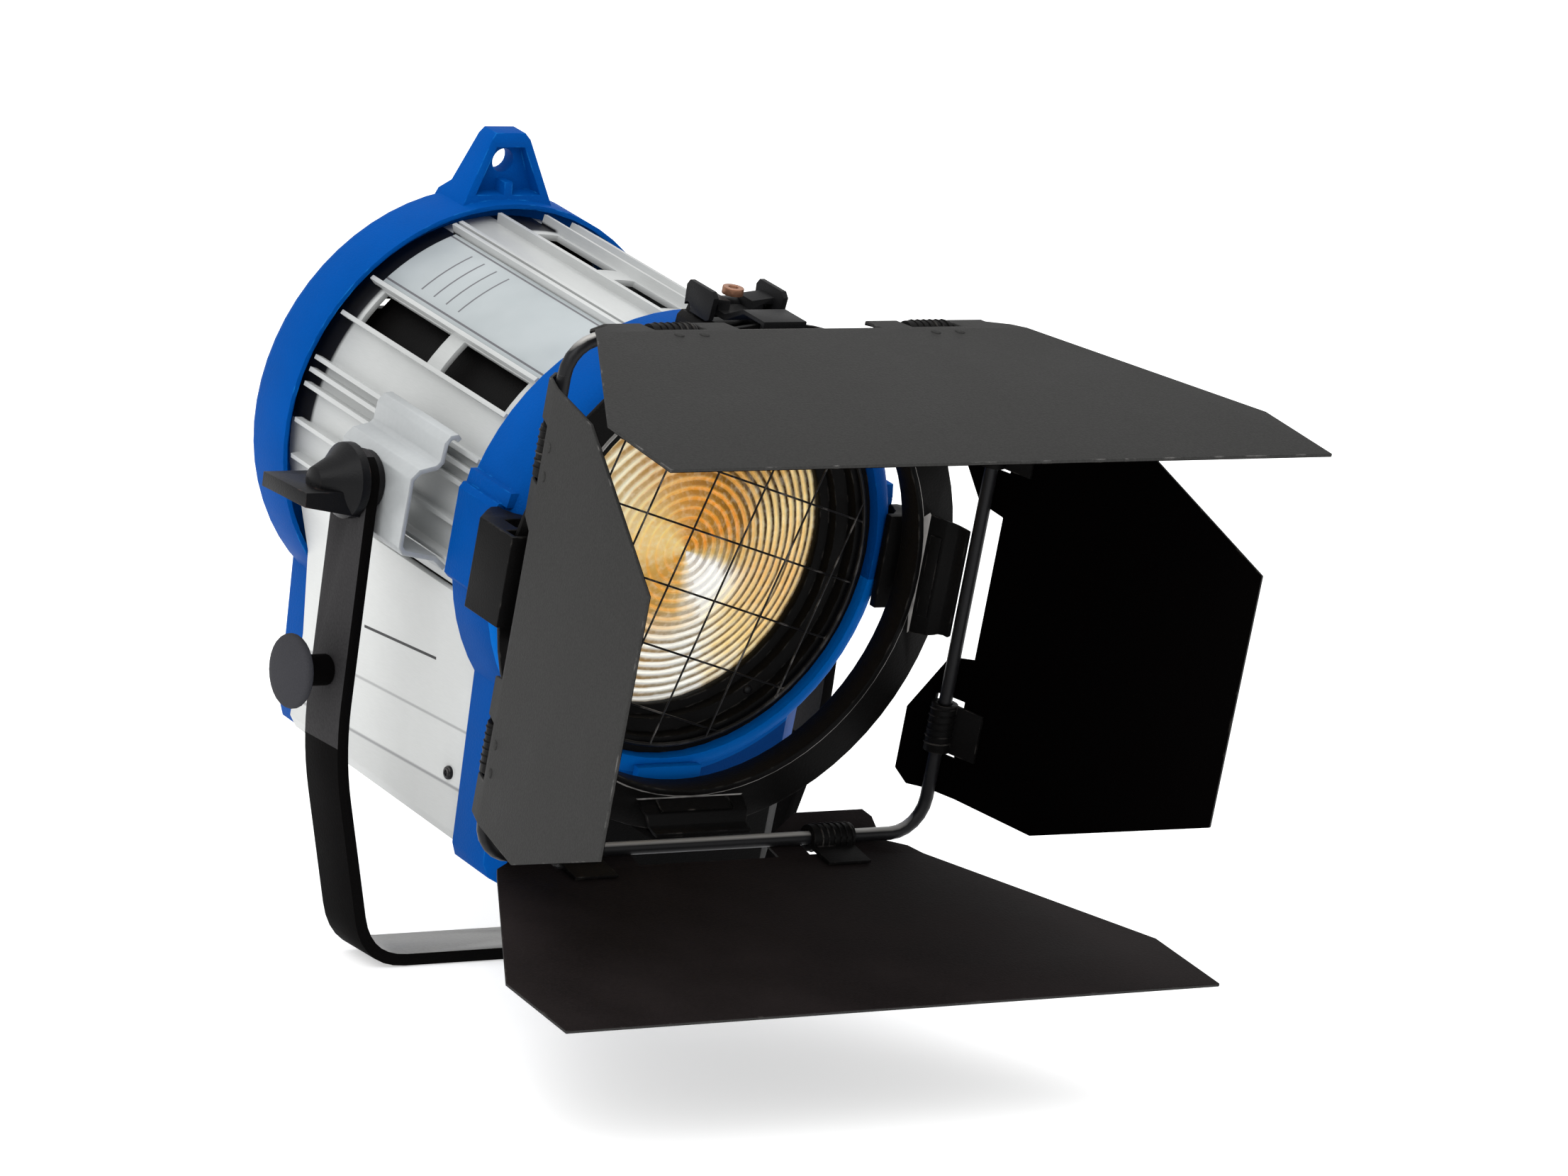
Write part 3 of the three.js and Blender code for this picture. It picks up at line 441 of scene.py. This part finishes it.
def lens_material():
    """Stepped glass with painted reflections on its facets and painted shade in the step valleys: colour and
    contrast change with the direction from the middle.
    """
    material, tree, shader = new_material("stepped_lens_glass")
    x, _, z = head_coords(tree)[:]
    radius = axis_radius(tree, x, z)
    angle = calc(tree, "DIVIDE", calc(tree, "ARCTAN2", z, x), 2 * math.pi)
    angle = calc(tree, "ADD", angle, 0.5)
    wobble = noise(tree, object_coords(tree), 150, 3.0)
    turned = calc(tree, "ADD", angle, calc(tree, "MULTIPLY", calc(tree, "SUBTRACT", wobble, 0.5), 0.10))
    # 0 and 1 point left, 0.25 down, 0.5 right, 0.75 up
    near = ramp(tree, turned, [
        (0.0, (0.90, 0.66, 0.26)), (0.12, (0.82, 0.50, 0.14)), (0.26, (0.86, 0.62, 0.26)),
        (0.32, (1, 0.99, 0.96)), (0.44, (1, 0.99, 0.96)), (0.48, (0.82, 0.66, 0.34)),
        (0.56, (0.86, 0.50, 0.13)), (0.75, (0.88, 0.52, 0.14)), (0.9, (0.95, 0.76, 0.36)),
        (1.0, (0.90, 0.66, 0.26)),
    ])
    far = ramp(tree, turned, [
        (0.0, (1, 0.94, 0.70)), (0.13, (0.98, 0.82, 0.48)), (0.22, (0.95, 0.95, 0.92)),
        (0.31, (0.97, 0.97, 0.94)), (0.37, (0.96, 0.84, 0.55)), (0.46, (0.94, 0.74, 0.42)),
        (0.54, (0.93, 0.82, 0.54)), (0.62, (0.74, 0.55, 0.26)), (0.72, (0.72, 0.46, 0.16)),
        (0.88, (1, 0.96, 0.80)),
    ])
    # painted shade in the valleys between the steps
    valley_shade = ramp(tree, turned, [
        (0.0, (0.80, 0.66, 0.36)), (0.2, (0.50, 0.32, 0.12)), (0.28, (0.50, 0.44, 0.34)),
        (0.36, (0.36, 0.24, 0.10)), (0.44, (0.14, 0.07, 0.03)), (0.56, (0.08, 0.04, 0.018)),
        (0.66, (0.18, 0.10, 0.03)), (0.8, (0.52, 0.27, 0.06)), (0.92, (0.76, 0.62, 0.36)),
    ])
    out = remap(tree, radius, 0, 1, 20, 32)
    facet = mix(tree, out, near, far)
    shaken = calc(tree, "ADD", radius, calc(tree, "MULTIPLY", wobble, 1.2))
    step = calc(tree, "FRACT", calc(tree, "DIVIDE", shaken, LENS_PITCH))
    black, white = (0, 0, 0), (1, 1, 1)
    band = ramp(tree, step, [
        (0.0, (0.1, 0.1, 0.1)), (0.22, black), (0.38, (0.85, 0.85, 0.85)), (0.7, white),
        (0.86, (0.55, 0.55, 0.55)), (1.0, (0.1, 0.1, 0.1)),
    ])
    soft = calc(tree, "MAXIMUM", band, remap(tree, radius, 0.62, 0.0, 12, 34))
    # one sector right of and below the middle has no visible steps
    clear = ramp(tree, turned, [(0.0, black), (0.31, black), (0.335, white), (0.42, white), (0.45, black)])
    inside = calc(tree, "MULTIPLY", remap(tree, radius, 0, 1, 10, 12), remap(tree, radius, 1, 0, 27, 29))
    shade = calc(tree, "MAXIMUM", soft, calc(tree, "MULTIPLY", clear, inside))
    base = mix(tree, shade, valley_shade, facet)
    fleck = noise(tree, object_coords(tree), 520, 4.0)
    base = mix(tree, remap(tree, fleck, 0, 0.30, 0.45, 0.75), base, (1.0, 0.97, 0.88))
    deeper = node(tree, "ShaderNodeGamma", Gamma=1.45)
    tree.links.new(base, deeper.inputs["Color"])
    base = deeper.outputs["Color"]
    tree.links.new(base, shader.inputs["Base Color"])
    shader.inputs["Roughness"].default_value = 0.12
    shader.inputs["Specular IOR Level"].default_value = 0.3
    shader.inputs["Coat Weight"].default_value = 0.1
    # a weak glow over the whole lens: painted light
    tree.links.new(base, shader.inputs["Emission Color"])
    shader.inputs["Emission Strength"].default_value = 0.32
    bump = node(tree, "ShaderNodeBump", Strength=0.35, Distance=0.0003)
    tree.links.new(fleck, bump.inputs["Height"])
    tree.links.new(bump.outputs["Normal"], shader.inputs["Normal"])
    return material


PRINTED_RULE_Y = (40, 84)
TROUGH_SIDE_X = 45


def trough_painted_shade_and_print(tree, base):
    """Painted shade along two panel creases and below the lower one, and one printed rule along the side of
    the lower housing.
    """
    x, y, z = head_coords(tree)[:]
    low_crease, high_crease, printed = (-86, 0.074), (-66.3, 0.093), (-45.6, 0.127)
    outside = calc(tree, "GREATER_THAN", calc(tree, "ABSOLUTE", x), TROUGH_SIDE_X)

    def along(level, slope):
        """Height above a line that falls by slope towards the rear."""
        return calc(tree, "ADD", calc(tree, "ADD", z, calc(tree, "MULTIPLY", y, slope)), -level)

    def line(level, slope, half, soft):
        """A mask that is one on that line and fades out over soft millimetres."""
        off = calc(tree, "ABSOLUTE", along(level, slope))
        return calc(tree, "MULTIPLY", remap(tree, off, 1, 0, half, half + soft), outside)

    # painted shade below the lower crease and along both creases
    lower = calc(tree, "MULTIPLY", remap(tree, along(*low_crease), 0.14, 0, -1.0, 0.5), outside)
    base = mix(tree, lower, base, (0.10, 0.10, 0.10))
    base = mix(tree, calc(tree, "MULTIPLY", line(*high_crease, 0.2, 0.5), 0.45), base, (0.10, 0.10, 0.11))
    base = mix(tree, calc(tree, "MULTIPLY", line(*low_crease, 0.2, 0.6), 0.6), base, (0.08, 0.08, 0.09))
    rule = product(tree, line(*printed, 0.42, 0.15), between(tree, y, *PRINTED_RULE_Y))
    return mix(tree, rule, base, (0.012, 0.012, 0.014))


LABEL_MIDDLE = 122.5
LABEL_LINES_HALF = 8.5
LABEL_LINES_Y = (74, 106)
LABEL_BORDER = (10.6, 11.2)
LINE_PITCH = 7.5


def label_material():
    """A blank satin plate with a border and a few ruled lines, drawn by angle round the drum and by Y."""
    material, tree, shader = new_material("label_film")
    x, y, z = head_coords(tree)[:]
    angle = axis_angle(tree, x, z)
    across = calc(tree, "SUBTRACT", angle, LABEL_MIDDLE)
    row = calc(tree, "FRACT", calc(tree, "DIVIDE", calc(tree, "ADD", y, 200), LINE_PITCH))
    ruled = calc(tree, "LESS_THAN", row, 0.10)
    off = calc(tree, "ABSOLUTE", across)
    within = calc(tree, "LESS_THAN", off, LABEL_LINES_HALF)
    lines = product(tree, ruled, within, between(tree, y, *LABEL_LINES_Y))
    ink = calc(tree, "MAXIMUM", lines, between(tree, off, *LABEL_BORDER))
    smudge = noise(tree, object_coords(tree), 40, 3.0)
    plate = mix(tree, remap(tree, smudge, 0, 1), (0.315, 0.345, 0.355), (0.375, 0.405, 0.415))
    tree.links.new(mix(tree, ink, plate, (0.12, 0.12, 0.13)), shader.inputs["Base Color"])
    tree.links.new(remap(tree, smudge, 0.35, 0.5), shader.inputs["Roughness"])
    shader.inputs["Metallic"].default_value = 0.15
    shader.inputs["Specular IOR Level"].default_value = 0.3
    return material


# these bound the painted shade on the shell's skin near the rear casting
SHELL_SKIN_R = (67.9, 68.6)
SIDE_GAP_FROM = 109.6
CROWN_GAP = (81, 94.6)


def shell_painted_shade(tree, base):
    """Painted shade in the gap between the rear end of the shell and the rear casting, deepest at the top."""
    x, y, z = head_coords(tree)[:]
    radius = axis_radius(tree, x, z)
    angle = axis_angle(tree, x, z)
    skin = remap(tree, radius, 1, 0, *SHELL_SKIN_R)
    side = product(tree, calc(tree, "GREATER_THAN", angle, SIDE_GAP_FROM), remap(tree, y, 0, 1, 115.2, 117))
    crown = product(tree, between(tree, angle, *CROWN_GAP), remap(tree, y, 0, 1, 110.5, 112.5))
    gap_shade = product(tree, calc(tree, "MAXIMUM", side, crown), skin)
    return mix(tree, gap_shade, base, (0.006, 0.006, 0.007))


# the rim's painted light blue, and the bounds of the painted shade on the face below the drum
RIM_PAINTED_LIGHT_BLUE = (0.0, 0.125, 0.50)
RIM_R = 73.6
RIM_BACK_Y = -5
RIM_TOP_Z = -8
FACE_TOP_Z = -74.5
FACE_BACK_Y = 2.2
FACE_LEFT_X = -49
BRACKET_BLUE_Z = -73.5


def casting_painted_light_and_shade(tree, base):
    """Painted shade makes the face below the drum black, and painted light makes the lower half of the rim
    round the lens a brighter blue.
    """
    x, y, z = head_coords(tree)[:]
    radius = axis_radius(tree, x, z)
    rim = product(
        tree, calc(tree, "LESS_THAN", radius, RIM_R), calc(tree, "LESS_THAN", y, RIM_BACK_Y),
        calc(tree, "LESS_THAN", z, RIM_TOP_Z),
    )
    low = product(
        tree, calc(tree, "LESS_THAN", z, FACE_TOP_Z), calc(tree, "LESS_THAN", y, FACE_BACK_Y),
        calc(tree, "GREATER_THAN", x, FACE_LEFT_X),
    )
    return mix(tree, low, mix(tree, rim, base, RIM_PAINTED_LIGHT_BLUE), (0.004, 0.004, 0.004))


def bracket_marks(tree, base):
    """The bottom bracket takes the rim's painted-light blue where it crosses the rim and is black below it.
    """
    z = head_coords(tree)[2]
    return mix(tree, calc(tree, "GREATER_THAN", z, BRACKET_BLUE_Z), base, RIM_PAINTED_LIGHT_BLUE)


def rod_painted_highlight(tree, base):
    """A painted highlight makes the upper side of the hinge frame's wire bright."""
    split = node(tree, "ShaderNodeSeparateXYZ")
    tree.links.new(node(tree, "ShaderNodeNewGeometry").outputs["Normal"], split.inputs[0])
    return mix(tree, remap(tree, split.outputs[2], 0, 0.8, 0.55, 0.8), base, (0.42, 0.41, 0.39))


LABEL = label_material()
BLUE_FRONT = coated("blue_front_coat", marks=casting_painted_light_and_shade, **BLUE_COAT)
BRACKET_PAINT = coated("bottom_bracket_paint", (0.0032, 0.003, 0.003), 0.55, specular=0.02, grain=1500,
                       depth=0.2, marks=bracket_marks)
ROD = coated("hinge_wire_steel", marks=rod_painted_highlight, **DARK)
SHELL = coated("shell_aluminium", (0.43, 0.44, 0.435), 0.42, metal=0.2, specular=0.3, grain=500, depth=0.05,
               blotch=0.06, speckle=0.05, stretch=(8, 0.5, 8), marks=shell_painted_shade)
BRACKET = coated("bracket_aluminium", (0.35, 0.365, 0.37), 0.42, metal=0.2, specular=0.3, grain=600,
                 depth=0.06, blotch=0.06, speckle=0.05)
TROUGH = coated("trough_aluminium", (0.55, 0.56, 0.55), 0.5, metal=0.1, specular=0.3, grain=500, depth=0.05,
                blotch=0.05, speckle=0.05, stretch=(8, 0.5, 8), marks=trough_painted_shade_and_print)
GLASS = lens_material()

# ---- pieces that follow their CAD solid: frame, body, material, slot and width of the rounded edges ----
SIMPLE = {
    "friction_disc_left": (BASE, "stirrup", PLASTIC, "black_plastic", 0.3),
    "friction_disc_right": (BASE, "stirrup", PLASTIC, "black_plastic", 0.3),
    "tilt_lock_lever": (BASE, "lock_lever", LEVER, "black_plastic", 0.8),
    "front_casting": (HEAD, "head", BLUE_FRONT, "blue_paint", 0.9),
    "rear_casting": (HEAD, "head", BLUE, "blue_paint", 0.9),
    "upper_shell": (HEAD, "head", SHELL, "silver_aluminium", 0.3),
    "lower_trough": (HEAD, "head", TROUGH, "silver_aluminium", 0.4),
    "side_bracket_left": (HEAD, "head", BRACKET, "silver_aluminium", 0.4),
    "side_bracket_right": (HEAD, "head", BRACKET, "silver_aluminium", 0.4),
    "lens_retaining_ring": (HEAD, "head", BLACK, "black_paint", 0.3),
    "heat_baffle": (HEAD, "head", BLACK, "black_paint", 0),
    "rear_cover": (HEAD, "head", BLACK, "black_paint", 0.4),
    "ring_bracket_left": (HEAD, "head", BLACK, "black_paint", 0.4),
    "ring_bracket_right": (HEAD, "head", BLACK, "black_paint", 0.4),
    "ring_bracket_bottom": (HEAD, "head", BRACKET_PAINT, "black_paint", 0.4),
    "latch_base": (HEAD, "head", BLACK, "black_paint", 0.4),
    "latch_pin": (HEAD, "head", STEEL, "steel", 0.2),
    "pivot_stud_left": (HEAD, "head", STEEL, "steel", 0.3),
    "pivot_bolt_right": (HEAD, "head", STEEL, "steel", 0.3),
    "guide_rod_left": (HEAD, "head", STEEL, "steel", 0.2),
    "guide_rod_right": (HEAD, "head", STEEL, "steel", 0.2),
    "label_plate": (HEAD, "head", LABEL, "label_film", 0.15),
    "cable_gland": (HEAD, "head", PLASTIC, "black_plastic", 0.4),
    "focus_spindle": (HEAD, "focus", STEEL, "steel", 0.2),
    "focus_knob": (HEAD, "focus", PLASTIC, "black_plastic", 0.6),
    "lamp_carriage": (HEAD, "carriage", STEEL, "steel", 0.4),
    "lamp_socket": (HEAD, "carriage", CERAMIC, "ceramic", 0.6),
    "lamp_bulb": (HEAD, "carriage", BULB, "lamp_glass", 0),
    "reflector": (HEAD, "carriage", MIRROR, "mirror_finish", 0),
    "latch_lever": (HEAD, "latch", PLASTIC, "black_plastic", 0.7),
    "latch_bolt": (HEAD, "latch", COPPER, "copper", 0.4),
    "hinge_frame": (HEAD, "barndoor", ROD, "steel", 0),
}
for name, (place, body, look, slot, width) in SIMPLE.items():
    solid = from_node(name, place)
    if width:
        bevel(solid, width)
    piece(name.replace("_", "-"), solid, place, look, body, [name])

# ---- stirrup: grey outer faces above the knee; painted shade on the edges and below the knee, a painted sheen on the bar ----
KNEE_Z = 71
BAR_TOP_Z = 8
bar = bevel(from_node("stirrup", BASE), 0.7)
for face in bar.faces:
    middle = face.calc_center_median()
    if face.normal.z > 0.7 and middle.z < BAR_TOP_Z:
        face.material_index = 2
    elif abs(face.normal.y) > 0.5 or middle.z < KNEE_Z:
        face.material_index = 1
STIRRUP_LOOKS = [STIRRUP_FACE, STIRRUP_PAINTED_SHADE, STIRRUP_PAINTED_SHEEN]
piece("stirrup-bar", bar, BASE, STIRRUP_LOOKS, "stirrup", ["stirrup"])

# ---- cord post: a grey rubber disc over a neck in the stirrup's painted shade ----
DISC_THICK = 6
post = bevel(from_node("cord_post", BASE), 0.6)
post_end = min(vert.co.x for vert in post.verts)
for face in post.faces:
    face.material_index = 0 if face.calc_center_median().x < post_end + DISC_THICK else 1
piece("cord-post", post, BASE, [RUBBER, STIRRUP_PAINTED_SHADE], "stirrup", ["cord_post"])

# ---- lens: a stepped face on a shallow dome, with a plain rim and a smooth middle ----
LENS_BACK_Y = 8.4
LENS_RIM_Y = 4.0
LENS_RIM_R = 57.5
RIM_INNER_R = 53.0
ZONE_R = 52.7
SMOOTH_R = 7
DOME_Y = -3.8
DOME_RISE = 7.2


def lens_face(radius):
    """Y of the dome at this distance from the axis."""
    return DOME_Y + DOME_RISE * (radius / ZONE_R) ** 2


lens_profile = [
    (0.0, LENS_BACK_Y), (LENS_RIM_R, LENS_BACK_Y), (LENS_RIM_R, LENS_RIM_Y), (RIM_INNER_R, LENS_RIM_Y),
]
zone = ZONE_R - 0.001
while zone > SMOOTH_R:
    inner = zone - LENS_PITCH
    lens_profile.append((zone, lens_face(zone) + 1.0))
    shoulder = zone - LENS_PITCH * 0.55
    lens_profile.append((shoulder, lens_face(shoulder) + 0.25))
    lens_profile.append((inner + 0.12, lens_face(inner)))
    zone = inner
for part in range(6, 0, -1):
    at = zone * part / 6
    lens_profile.append((at, lens_face(at) + 0.9 * (part / 6) ** 2))
lens_profile.append((0.0, lens_face(0)))
piece("fresnel-lens", lathe(lens_profile, 128), HEAD, GLASS, "head", ["fresnel_lens"], 24)

# ---- wire guard: two rows of round wires, nearly square to each other, pressed into a hoop ----
GUARD_Y = -11.2
GUARD_PITCH = 19.6
GUARD_ROWS = ((17, 8.5), (-73, 7))
HOOP_R = 62.3
WIRE_END_R = 62
WIRE_RADIUS = 0.34
HOOP_WIRE_RADIUS = 0.68
wires = []
for i in range(-3, 4):
    for turn, phase in GUARD_ROWS:
        off = i * GUARD_PITCH + phase
        if abs(off) > 56:
            continue
        half = math.sqrt(WIRE_END_R * WIRE_END_R - off * off)
        spin = Matrix.Rotation(math.radians(turn), 4, "Y")
        lift = 0.3 if turn > 0 else -0.3
        line = [(-half + 2 * half * k / 12, GUARD_Y + lift, off) for k in range(13)]
        wires.append(tube([spin @ Vector(point) for point in line], WIRE_RADIUS))
hoop_line = []
for k in range(72):
    x, z = polar(HOOP_R, 5 * k)
    hoop_line.append((x, GUARD_Y, z))
wires.append(tube(hoop_line, HOOP_WIRE_RADIUS, 10, closed=True))
piece("wire-guard", merged(*wires), HEAD, DARK_STEEL, "head", ["wire_guard"])

# ---- barndoor ring: worn and lit by a painted highlight along the step, with a pressed panel on each tab ----
STEP_R = (71.7, 72.9)
STEP_Y = -29.0
TAB_SLOPE = math.atan2(2.4, 4.0)
TAB_MIDDLE = (0, -32.7, 74.3)
TAB_PANEL = (27, 4.0, 1.2)
ring = bevel(from_node("barndoor_ring", HEAD), 0.3)
for face in ring.faces:
    middle = face.calc_center_median()
    on_step = STEP_R[0] < math.hypot(middle.x, middle.z) < STEP_R[1] and middle.y < STEP_Y
    face.material_index = 1 if on_step else 0
piece("barndoor-ring", ring, HEAD, [BLACK, STEP_WEAR_AND_HIGHLIGHT], "barndoor", ["barndoor_ring"])
for turn in range(4):
    panel = bmesh.new()
    bmesh.ops.create_cube(panel, size=1)
    panel.transform(
        Matrix.Rotation(math.radians(90 * turn), 4, "Y")
        @ Matrix.Translation(TAB_MIDDLE)
        @ Matrix.Rotation(-TAB_SLOPE, 4, "X")
        @ Matrix.Diagonal((*TAB_PANEL, 1))
    )
    piece(f"tab-panel-{turn}", bevel(panel, 0.35), HEAD, BLACK, "barndoor", ())

# ---- leaves, with their sprung clips; painted shade on the inner faces, a lit copy on the bottom leaf ----
CLIP_CENTRES = (("a", -48), ("b", 48))
CLIP_RIVETS_X = (-4.6, 4.6)
CLIP_RIVETS_Y = 10.8
CLIP_TOP_Z = 4.9
SPRING_HALF = 7
SPRING_R = 4.4
SPRING_TURNS = 6
SPRING_STEPS = 16
for side in LEAF_OUT:
    place = leaf_frame(side)
    body = "leaf_" + side
    sheet = bevel(from_node(body, place), 0.3, 2, 50)
    for face in sheet.faces:
        face.material_index = 1 if face.normal.z < -0.3 else 0
    # inner faces take painted shade, the bottom leaf's a lit copy of it
    inner = LIT_LEAF_FLOOR if side == "bottom" else LEAF_INNER_PAINTED_SHADE
    piece("leaf-" + side, sheet, place, [LEAF_OUTER, inner], body, [body])
    for end, centre in CLIP_CENTRES:
        clip = f"hinge_clip_{side}_{end}"
        solid = bevel(from_node(clip, place), 0.25)
        piece(clip.replace("_", "-"), solid, place, BLACK, body, [clip])
        heads = []
        for x in CLIP_RIVETS_X:
            heads.append(rivet((centre + x, CLIP_RIVETS_Y, CLIP_TOP_Z), (0, 0, 1), 1.6, 0.6))
        piece(f"rivets-{side}-{end}", merged(*heads), place, LEAF_OUTER, body, ())
        coil = []
        last = SPRING_TURNS * SPRING_STEPS
        for k in range(last + 1):
            turn = 2 * math.pi * k / SPRING_STEPS
            along = centre - SPRING_HALF + 2 * SPRING_HALF * k / last
            coil.append((along, SPRING_R * math.cos(turn), SPRING_R * math.sin(turn)))
        piece(f"spring-{side}-{end}", tube(coil, 0.3, 6), place, BLACK, body, ())

# ---- fasteners: four rivets in the lens ring, seven screws in the rear cover, four on each side below ----
LENS_RING_Y = -4.6
RIVET_CIRCLE_R = 58.2
COVER_Y = 143.8
COVER_SCREWS = ((-58, 22), (58, 22), (-38, -56), (38, -56), (-33, -103), (33, -103), (0, 62))
TROUGH_X = 53.4
SCREWS = []
for angle in (35, 125, 215, 305):
    x, z = polar(RIVET_CIRCLE_R, angle)
    SCREWS.append(("lens-ring", rivet((x, LENS_RING_Y, z), (0, -1, 0), 1.5, 0.8)))
for x, z in COVER_SCREWS:
    SCREWS.append(("rear-cover", screw((x, COVER_Y, z), (0, 1, 0), 2.6, 1.5, 0.2 + 0.05 * x)))
for side in (-1, 1):
    for z in (-84, -56):
        for y, spin in ((26, 0.4), (112, 0.9)):
            SCREWS.append(("trough", screw((side * TROUGH_X, y, z), (side, 0, 0), 2.2, 1.2, spin)))
for number, (where, head) in enumerate(SCREWS):
    piece(f"screw-{where}-{number}", head, HEAD, DARK_STEEL, "head", ())

# ---- floor, light and camera ----
floor_mesh = bpy.data.meshes.new("floor")
floor_bm = bmesh.new()
bmesh.ops.create_grid(floor_bm, x_segments=1, y_segments=1, size=30)
floor_bm.transform(Matrix.Translation((0, 0, -0.0004)))
floor_bm.to_mesh(floor_mesh)
floor_bm.free()
floor = add_object("floor", floor_mesh)
floor_look, _, floor_shader = new_material("floor_paper")
floor_shader.inputs["Base Color"].default_value = (0.8, 0.8, 0.8, 1)
floor_shader.inputs["Emission Color"].default_value = (1, 1, 1, 1)
floor_shader.inputs["Emission Strength"].default_value = 0.5
floor_shader.inputs["Roughness"].default_value = 0.9
floor_shader.inputs["Specular IOR Level"].default_value = 0.1
floor_mesh.materials.append(floor_look)

world = bpy.data.worlds.new("studio")
bpy.context.scene.world = world
world.use_nodes = True
world.node_tree.nodes["Background"].inputs["Color"].default_value = (1, 1, 1, 1)
world.node_tree.nodes["Background"].inputs["Strength"].default_value = 0.95


def area_light(name, at, target, size, watts):
    light = bpy.data.lights.new(name, "AREA")
    light.shape = "SQUARE"
    light.size = size
    light.energy = watts
    obj = add_object(name, light)
    obj.location = at
    obj.rotation_mode = "QUATERNION"
    obj.rotation_quaternion = (Vector(target) - Vector(at)).to_track_quat("-Z", "Y")


LAMP_MIDDLE = (0, 0, 0.12)
area_light("key_light", (-1.9, -1.2, 2.2), LAMP_MIDDLE, 2.0, 45)
area_light("top_light", (0.3, 0.6, 2.6), LAMP_MIDDLE, 2.2, 25)

# the camera stands in the head's frame, in millimetres, where the photo's camera stood
CAMERA_AT = (-1415.727, -1931.596, 746.246)
CAMERA_LOOK = (0.574996, 0.76116, -0.300024)
CAMERA_UP = (0.028351, 0.347951, 0.937084)
camera_data = bpy.data.cameras.new("camera")
camera_data.sensor_width = 36
camera_data.lens = 183.555
camera = add_object("camera", camera_data)
view_dir = Vector(CAMERA_LOOK).normalized()
up = Vector(CAMERA_UP).normalized()
right = view_dir.cross(up)
turn = HEAD.to_3x3().normalized()
pose = (turn @ Matrix((right, up, -view_dir)).transposed()).to_4x4()
pose.translation = HEAD @ Vector(CAMERA_AT)
camera.matrix_world = pose
camera_data.clip_end = 100
bpy.context.scene.camera = camera
bpy.context.scene.view_settings.view_transform = "Standard"
